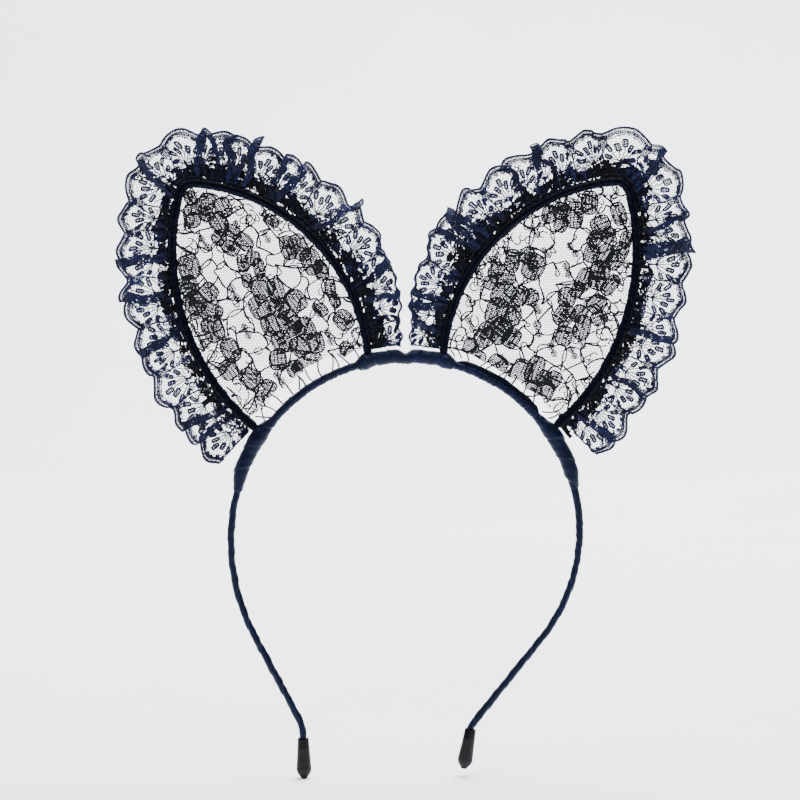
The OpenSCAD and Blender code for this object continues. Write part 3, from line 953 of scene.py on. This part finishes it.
def heading(name, side, ruffle):
    """The dense root of the edging: tight gathers sewn to the frame, with a ragged outer side."""
    step, pleat_pitch = 0.28, 2.3
    s = np.arange(1.6, ear_frame.length - 1.6, step)
    v = np.arange(0, 10.6, step)
    noise = Noise(71 + side)
    rng = np.random.default_rng(81 + side)
    parts = []
    for layer in (-1, 1):
        ss, vv = np.meshgrid(s, v, indexing="ij")
        shift = rng.uniform(-0.09, 0.09, (2, *ss.shape))
        turn = ss * 2 * np.pi / pleat_pitch
        pleat = np.sin(turn + layer + 1.8 * noise(ss / 5, layer * 2.0))
        out = 0.6 + vv + shift[1]
        round_frame = np.sqrt(np.clip((EAR_D / 2 + 0.22) ** 2 - out ** 2, 0, None))
        y = layer * np.maximum(round_frame, 0.45 + 0.25 * np.exp(-vv / 3))
        y = y + 0.42 * pleat * np.clip(out - 1, 0.35, 1) * np.exp(-vv / 5)
        y = y + 0.14 * layer * noise(ss / 0.6, vv)
        at = ss + shift[0] + 0.35 * np.cos(turn) + 0.5 * vv / 5 * noise(ss / 3, 7.0)
        p, _ = ear_frame.at(at)
        angle = np.interp(at, ruffle.s, ruffle.angle)
        outward = polar(0, 1, angle)
        x, z, y = settled(p[..., 0] + outward[..., 0] * out, p[..., 1] + outward[..., 1] * out, y)
        points = stacked(x, y, z).reshape(-1, 3)
        # Fullest along the inner side and at the tip.
        full = np.interp(ss, (0, 12, inner_length - 10, inner_length + 2, inner_length + 12),
                         (6.0, 5.8, 6.4, 7.6, 3.8))
        edge = full + 2.3 * noise(ss / 4.6, 20 + layer) + 1.3 * noise(ss / 1.8, 30 + layer)
        ragged = 0.9 * noise(ss / 0.8, vv / 0.8 + 40 * layer) + 0.7 * noise(ss / 0.33, vv / 0.33)
        loose = np.exp(-((vv - 1.5) / 0.5) ** 2) * (noise(ss / 6, 50.0) > 0.05)
        holes = -1.0 + 0.09 * vv - 0.5 * (vv < 0.8) + 0.7 * loose
        solid = (vv < edge + 2.2 * ragged) & (ragged > holes)
        i = np.arange(len(points)).reshape(ss.shape)
        quads = stacked(i[:-1, :-1], i[1:, :-1], i[1:, 1:], i[:-1, 1:])
        parts.append(slab(points, quads[solid[:-1, :-1] & solid[1:, 1:]], np.array([0, 0.09, 0])))
    # Its colour is the edging's lace darkened with painted shade of the gathers.
    obj = piece(f"ruffle_heading_{name}_lace", *joined(parts), HEADING_LACE_PAINTED_SHADE, "navy_lace", side)
    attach(obj, f"ear_{name}")
    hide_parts(f"ruffle_heading_{name}")
    return obj


def slab(points, quads, thick):
    """A sheet of quads given a thickness, closed all round."""
    used, quads = np.unique(quads, return_inverse=True)
    quads = quads.reshape(-1, 4)
    p = points[used]
    n = len(p)
    edges = np.concatenate([quads[:, [k, (k + 1) % 4]] for k in range(4)])
    key = np.sort(edges, axis=1)
    _, where, uses = np.unique(key[:, 0] * n + key[:, 1], return_index=True, return_counts=True)
    rim = edges[where[uses == 1]]
    walls = stacked(rim[:, 1], rim[:, 0], rim[:, 0] + n, rim[:, 1] + n)
    return np.concatenate([p - thick, p + thick]), [quads, quads[:, ::-1] + n, walls]


def gathering_threads():
    """Running stitches that hold the gathers against the frame."""
    for name, side in SIDES:
        s = np.arange(3.5, ear_frame.length - 3.5, 0.25)
        noise = Noise(91 + side)
        p, a = ear_frame.at(s)
        out = EAR_D / 2 + 0.9 + 0.3 * noise(s / 4, 1.0)
        outward = polar(0, 1, a)
        dip = np.sin(s * 2 * np.pi / 3.1)
        line = stacked(p[:, 0] + outward[:, 0] * out, -0.75 - 0.45 * np.clip(dip * 2.4, -1, 1),
                       p[:, 1] + outward[:, 1] * out)
        obj = piece(f"gathering_stitches_{name}", *threads(line[:-1], line[1:], 0.17, 6), THREAD,
                    "sewing_thread", side)
        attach(obj, f"ear_{name}")
        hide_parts(f"gathering_thread_{name}")


# ---- the lace panels ----

DARK = True
# The petals of each panel: (x, z, turn in degrees, length, width).
PETALS = {
    "left": (
        (72, 50, 75, 7, 4.8), (61.5, 53, 55, 6, 4.6), (63, 47.8, 60, 6.2, 5), (72.5, 56, 60, 4.5, 3.2),
        (66.8, 55, 80, 5, 4.4), (67, 50.6, 70, 4.6, 3.6, DARK), (63, 42.6, 50, 4.2, 4),
        (58.5, 44.8, 30, 5, 3.6), (54.4, 41.2, 45, 5.4, 4.2), (59, 39.2, 25, 5.4, 4, DARK),
        (51.6, 35.8, 90, 4.2, 4), (55, 34, 75, 5.4, 3.2, DARK), (49.5, 32.4, 70, 6, 3.2),
        (53.6, 28.2, 80, 4.2, 3), (48.8, 26, 60, 7.4, 6), (43.8, 24.6, 70, 8, 4.6),
        (37, 21.2, 55, 6.6, 5.4), (49.4, 19.2, 60, 7.2, 5.8), (42.8, 19, 45, 6.4, 5.2, DARK),
        (39.4, 13.6, 60, 8, 6.4, DARK), (46, 13, 70, 6.6, 4.8), (34, 11.8, 65, 7, 5.4),
        (42, 7.4, 55, 6.6, 5.6, DARK), (30.4, 7, 70, 6.2, 4.6), (36, 5.6, 60, 6.4, 5),
        (43.4, 1.2, 80, 6, 5), (39.8, 39.2, 70, 7.4, 4.2), (36, 39.4, 65, 8, 5),
        (31.8, 34.4, 60, 8, 5.6), (28.6, 31.4, 70, 5.6, 4), (45, 48.4, 50, 4.6, 2.8, DARK),
        (25.4, 25.4, 80, 5.6, 3), (28.4, 18.2, 45, 4.2, 3), (21, 14.6, 50, 6.4, 5.2),
        (15.6, 8.6, 65, 6.4, 3.4), (24, 21.4, 60, 4.4, 3), (73.2, 32.8, 80, 7.6, 6.2),
        (73.4, 26.4, 70, 6.4, 5.4, DARK), (66.6, 24.4, 40, 5.6, 5), (71.4, 20.8, 60, 7, 6, DARK),
        (65.6, 18.2, 20, 6.8, 4), (70.4, 13.4, 75, 7.2, 5.8), (65.2, 11.8, 60, 8, 6),
        (59.4, 4.6, 70, 7.4, 5), (60.2, -2, 50, 6, 5.4), (52.6, -5.2, 40, 7.4, 5.4),
        (46.4, -7.4, 30, 4.6, 3), (48, -13, 65, 7.4, 5.2), (37.8, -1.8, 60, 5, 4.4, DARK),
        (34.4, -2, 70, 7.4, 5.4), (29.4, -0.6, 65, 7.8, 4), (20, 4.6, 60, 5, 3.6),
    ),
    "right": (
        (62.6, 54, 95, 7, 4.8), (57.6, 49.8, 85, 8, 5), (53.2, 51.2, 80, 5, 4.6, DARK),
        (49, 50.2, 75, 5.4, 4.2), (50.2, 54.4, 60, 4.4, 3.8, DARK), (53, 46.6, 70, 4.6, 3.8),
        (57, 56.4, 70, 4.2, 3.4), (60.8, 58.2, 50, 5, 3.2), (72.6, 50.2, 110, 7, 4.2),
        (66.4, 46.6, 30, 6, 5), (69, 43, 60, 5, 4, DARK), (64.4, 41.6, 60, 5, 4, DARK),
        (63.4, 36.8, 70, 5.6, 4.4), (67.6, 36, 65, 7.4, 4.8), (72.2, 36, 65, 9, 4.8),
        (75, 41.4, 75, 5, 3.4), (66, 29.4, 70, 9, 6, DARK), (60.8, 27.8, 65, 7.2, 4.6),
        (69.8, 26, 55, 7, 3.8), (55, 22, 80, 6, 5.2), (58.6, 24.4, 60, 5, 3.6), (65, 19.6, 40, 6, 5),
        (66, 14.8, 30, 5, 4), (54, 15.8, 50, 7, 5.6, DARK), (59.2, 16.2, 65, 5.6, 4.4),
        (54, 8.8, 75, 6, 5), (60.2, 11.6, 70, 7.6, 4.6), (36.4, 34.4, 80, 7, 4.2),
        (41.4, 36.2, 40, 5, 4.4), (43.6, 32.4, 70, 8, 6.2, DARK), (29.6, 37, 70, 5.6, 3.4),
        (31, 31.2, 55, 5, 4.2), (29, 27.2, 70, 4.6, 3.6), (34.2, 28.2, 0, 6, 3.2),
        (33.4, 23, 50, 8, 6.4), (39, 22.6, 60, 6, 4.8), (42.6, 22, 75, 5, 4.6), (31, 17.2, 75, 8.4, 6.2),
        (36.6, 15.8, 80, 6.2, 4.6), (32, 10.6, 50, 8, 6.6, DARK), (26.8, 9.4, 65, 8, 4.8, DARK),
        (36, 8.2, 60, 6.2, 5), (31, -1.2, 60, 6.6, 6), (39, -4.2, 75, 9.4, 5.6), (44, -2.6, 75, 8.4, 5),
        (50.6, -6, 70, 5, 4.2), (47, -5.4, 60, 4.6, 3.6, DARK), (43.2, -10.2, 60, 6, 5, DARK),
        (47.4, -10, 65, 6.6, 5.2), (45.6, -13.6, 60, 5, 4), (21.8, 5.6, 75, 5, 3.6),
        (24, 1, 60, 6, 5, DARK), (19, 1.6, 50, 5, 4, DARK),
    ),
}
# Small ladders of clothwork: (x, z, turn in degrees, half length).
LADDERS = {
    "left": ((68, 41, 55, 3.2), (57, 47, 60, 1.6), (47, 43, 60, 2.2), (58, 24, 62, 3.4),
             (54, 11, 65, 2.8), (26, 9, 70, 3.0), (43, -5, 50, 2.6), (30, 18, 65, 2.4), (68, 7, 60, 2.0)),
    "right": ((44, 44, -50, 2.4), (48, 37, -45, 2.2), (57, 38, -55, 3.0), (55, 31, -70, 2.6),
              (45, 18, -60, 1.8), (45, 11, -75, 3.0), (22, 13, -65, 3.2), (50, 4, -65, 2.6),
              (57, 3, -65, 2.4), (60, 6, -60, 2.0)),
}


def petal(drawing, rng, x, z, turn, length, width, dark=False):
    """One petal: an outline, clothwork, a denser heart in a dark one, and a vein."""
    angle = math.radians(turn + rng.uniform(-8, 8))
    length, width = 1.13 * length, 1.17 * width
    drawing.line(loop((x, z), angle, length / 2, width / 2, 22, 3.0), 0.23)
    filled(drawing, (x, z), angle, length / 2, width / 2, 0.56, 1.2, 0.205, 3.0)
    if dark:
        filled(drawing, (x, z), angle, length * 0.25, width * 0.25, 0.42, 0.6, 0.14, 2.2)
    tip = np.array([x, z]) + 0.5 * length * polar(0, 1, angle)
    vein = curve((x, z), tip + rng.uniform(-1, 1, 2), tip + rng.uniform(-2, 2, 2), 6)
    drawing.line(finely(vein, 1.0), 0.18)


def ladder(drawing, x, z, turn, half):
    """A row of short rungs of uneven length on one thread."""
    along = polar(0, 1, math.radians(turn))
    across = np.array([-along[1], along[0]])
    centre = np.array([x, z])
    for k in np.arange(-half, half, 0.5):
        wide = 0.5 + 0.75 * abs(math.sin(1.9 * k / half * 1.6))
        middle = centre + k * along
        drawing.segments([middle - wide * across], [middle + wide * across], 0.19)
    drawing.line([centre - half * along, centre + half * along], 0.17)


def veins(drawing, rng):
    """The cords that divide the net: an uneven honeycomb with curved sides, some doubled."""
    cell = 6.6
    a, b = honeycomb(*PANEL_BOX, cell)
    moved = {}

    def move(p):
        key = (round(p[0], 2), round(p[1], 2))
        if key not in moved:
            moved[key] = np.array(key) + rng.uniform(-0.26, 0.26, 2) * cell
        return moved[key]

    for p, q in zip(a, b):
        p, q = move(p), move(q)
        if rng.random() < 0.08:
            continue
        middle = (p + q) / 2 + rng.uniform(-2.3, 2.3, 2)
        drawing.line(finely(curve(p, middle, q, 10), 0.6), rng.uniform(0.24, 0.32))
        if rng.random() < 0.45:
            bow = rng.uniform(1.0, 2.8, 2) * rng.choice([-1, 1], 2)
            drawing.line(finely(curve(p, middle + bow, q, 10), 0.6), 0.24)


def curls(drawing, rng, outline):
    """Small loops of cord along the frame."""
    for p in outline[rng.integers(0, len(outline), 110)]:
        inward = EAR_MIDDLE - p
        centre = p + rng.gamma(1.5, 4.0) * inward / np.linalg.norm(inward)
        line = loop(centre, rng.uniform(0, 3), rng.uniform(1.0, 2.6), rng.uniform(0.7, 1.6), 14,
                    2.0)
        drawing.line(line[:rng.integers(8, 15)], 0.22)


def panel_outline():
    """The line inside the frame's ribbon at which a panel ends."""
    p, a = ear_frame.at(np.arange(0.5, ear_frame.length - 0.5, 1.0))
    return p - polar(0, EAR_D / 2 - 0.45, a)


def cut_edge(points, noise, gap):
    """How far points lie above the panel's ragged cut edge, which follows the band."""
    t = np.arctan2(points[:, 0] - BAND_C[0], points[:, 1] - BAND_C[1]) * BAND_R
    gap = gap + 1.1 * noise(t / 5, 1.0) + 0.5 * noise(t / 1.3, 2.0)
    # It is cut higher beside the outer foot's binding.
    gap = gap + 1.3 * np.clip((t - FOOT_OUT * BAND_R + 7) / 3, 0, 1)
    return np.hypot(points[:, 0] - BAND_C[0], points[:, 1] - BAND_C[1]) - BAND_R - gap


def panels():
    """The lace inside each ear frame: its net, its petals and ladders, and its cords."""
    outline = panel_outline()
    for name, side in SIDES:
        noise = Noise(101 + side)
        rng = np.random.default_rng(111 + side)

        def inside(p):
            return inside_outline(p, outline) & (cut_edge(p, noise, PANEL_GAP[name]) > 0)

        def stood(p, lift=0.0):
            x, z = p[:, 0], p[:, 1]
            y = 0.3 * noise(x / 11, z / 11) + 0.12 * noise(x / 3, z / 3) + lift
            return stacked(x, y, z)

        a, b = honeycomb(*PANEL_BOX, PANEL_CELL)
        # The net is a little drawn, so its meshes lean and vary.
        a, b = (stacked(x + 0.1 * z + 0.5 * noise(x / 8, z / 8), z + 0.5 * noise(z / 7, x / 7))
                for x, z in (a.T, b.T))
        keep = inside(a) & inside(b)
        mesh = threads(stood(a[keep]), stood(b[keep]), NET_THREAD * 1.03, 3, closed=False)
        net = piece(f"panel_net_{name}", *mesh, PANEL_LACE, "navy_lace", side)
        work, cords = Drawing(), Drawing()
        for one in PETALS[name]:
            petal(work, rng, *one)
        for one in LADDERS[name]:
            ladder(work, *one)
        veins(cords, rng)
        curls(cords, rng, outline)
        on = []
        for label, drawing in (("motifs", work), ("cords", cords)):
            a, b, r = drawing.kept(inside)
            prisms = threads(stood(a, -0.06), stood(b, -0.06), r, 4)
            on.append(piece(f"panel_{label}_{name}", *prisms, PANEL_LACE, "navy_lace", side))
        for obj in (net, *on):
            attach(obj, f"ear_{name}")
        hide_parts(f"lace_panel_{name}")
        tethers(name, side, rng)


def tethers(name, side, rng):
    """Loose cut threads that run from the panel's lower edge to the band."""
    parts = []
    surface = CROWN_D / 2 if name == "left" else HEM_RISE + HEM_D / 2
    beside_foot = math.radians(3)
    for t in np.linspace(FOOT_IN + beside_foot, FOOT_OUT - beside_foot, 13):
        t += rng.uniform(-0.02, 0.02)
        low = on_band(t, surface - 0.1)
        high = on_band(t + rng.uniform(-0.06, 0.06), 5.6 + rng.uniform(0, 1.5))
        middle = (low + high) / 2 + rng.uniform(-1.2, 1.2, 2)
        line = finely(curve(low, middle, high, 8), 0.6)
        depth = np.linspace(rng.uniform(-0.8, 0.8), 0, len(line))
        line = stacked(line[:, 0], depth, line[:, 1])
        parts.append(threads(line[:-1], line[1:], rng.uniform(0.24, 0.32), 4))
    obj = piece(f"panel_tethers_{name}", *joined(parts), PANEL_LACE, "navy_lace", side)
    middle = (FOOT_IN + FOOT_OUT) / 2
    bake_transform(obj)


# ---- stage ----

def stage():
    """A pale floor that curves up into a pale backdrop."""
    front, bend_from, bend_r, top, half_width = -1.5, 1.0, 0.5, 2.4, 3.0
    profile = [(front, 0.0), (bend_from, 0.0)]
    profile += [(bend_from + bend_r * math.sin(a), bend_r * (1 - math.cos(a)))
                for a in np.radians(range(6, 91, 6))]
    profile += [(bend_from + bend_r, top)]
    points = [(x, y, cad_low.z + z) for y, z in profile for x in (-half_width, half_width)]
    faces = [(2 * k, 2 * k + 1, 2 * k + 3, 2 * k + 2) for k in range(len(profile) - 1)]
    mesh = bpy.data.meshes.new("backdrop")
    mesh.from_pydata(points, [], faces)
    mesh.polygons.foreach_set("use_smooth", [True] * len(faces))
    paper = Shader("pale_paper")
    tone = paper.ramp(paper.noise(9.0), (0.3, (0.86, 0.86, 0.88)), (0.7, (0.9, 0.9, 0.91)))
    paper.set(Base_Color=tone, Roughness=0.6)
    mesh.materials.append(paper.material)
    floor = added("backdrop", mesh)


def soft_light(name, place, aim, size, power, tint=(1, 1, 1)):
    """A square lamp that faces aim."""
    light = bpy.data.lights.new(name, "AREA")
    light.shape = "SQUARE"
    light.size = size
    light.energy = power
    light.color = tint
    obj = added(name, light)
    obj.location = place
    obj.rotation_euler = (Vector(aim) - Vector(place)).to_track_quat("-Z", "Y").to_euler()


def lighting():
    """Bright light on the backdrop behind the lace, and soft light on the front."""
    world = bpy.data.worlds.new("soft_room")
    world.use_nodes = True
    sky = world.node_tree.nodes["Background"].inputs
    sky["Color"].default_value = (0.93, 0.95, 1.0, 1)
    sky["Strength"].default_value = 0.22
    bpy.context.scene.world = world
    middle = (0, 0, -0.03)
    soft_light("window", (0.3, 0.45, 1.6), (0, 1.1, 0.1), 1.5, 150, (0.95, 0.97, 1.0))
    soft_light("key", (-0.75, -0.85, 0.85), middle, 0.5, 7)
    soft_light("fill", (0.9, -0.9, 0.35), middle, 0.6, 2.5, (0.96, 0.97, 1.0))


CAMERA_TURN = math.radians(-2)
CAMERA_RISE = math.radians(4)
CAMERA_FAR = 0.9
CAMERA_ROLL = math.radians(-0.25)
VIEW_CENTRE = (-0.002, 0.0, -0.0127)
VIEW_WIDTH = 0.2722  # of the object plane


def camera():
    """A long lens nearly straight in front of the band."""
    data = bpy.data.cameras.new("camera")
    data.sensor_width = 36
    data.lens = data.sensor_width * CAMERA_FAR / VIEW_WIDTH
    data.clip_start = 0.01
    obj = added("camera", data)
    centre = Vector(VIEW_CENTRE)
    away = Vector((math.sin(CAMERA_TURN) * math.cos(CAMERA_RISE),
                   -math.cos(CAMERA_TURN) * math.cos(CAMERA_RISE), math.sin(CAMERA_RISE)))
    turn = (-away).to_track_quat("-Z", "Y").to_matrix() @ Matrix.Rotation(CAMERA_ROLL, 3, "Z")
    obj.matrix_world = Matrix.Translation(centre + CAMERA_FAR * away) @ turn.to_4x4()
    bpy.context.scene.camera = obj


def bare_wires():
    """Steel for the wires that the CAD model shows where no ribbon covers them."""
    for name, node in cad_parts.items():
        if name == "crown_wire" or name.startswith(("ear_wire", "ear_tail")):
            recolour(node, STEEL)


camera()
stage()
lighting()
bare_wires()
crown()
hem()
arms()
ear_frames()
gathering_threads()
ruffles()
panels()
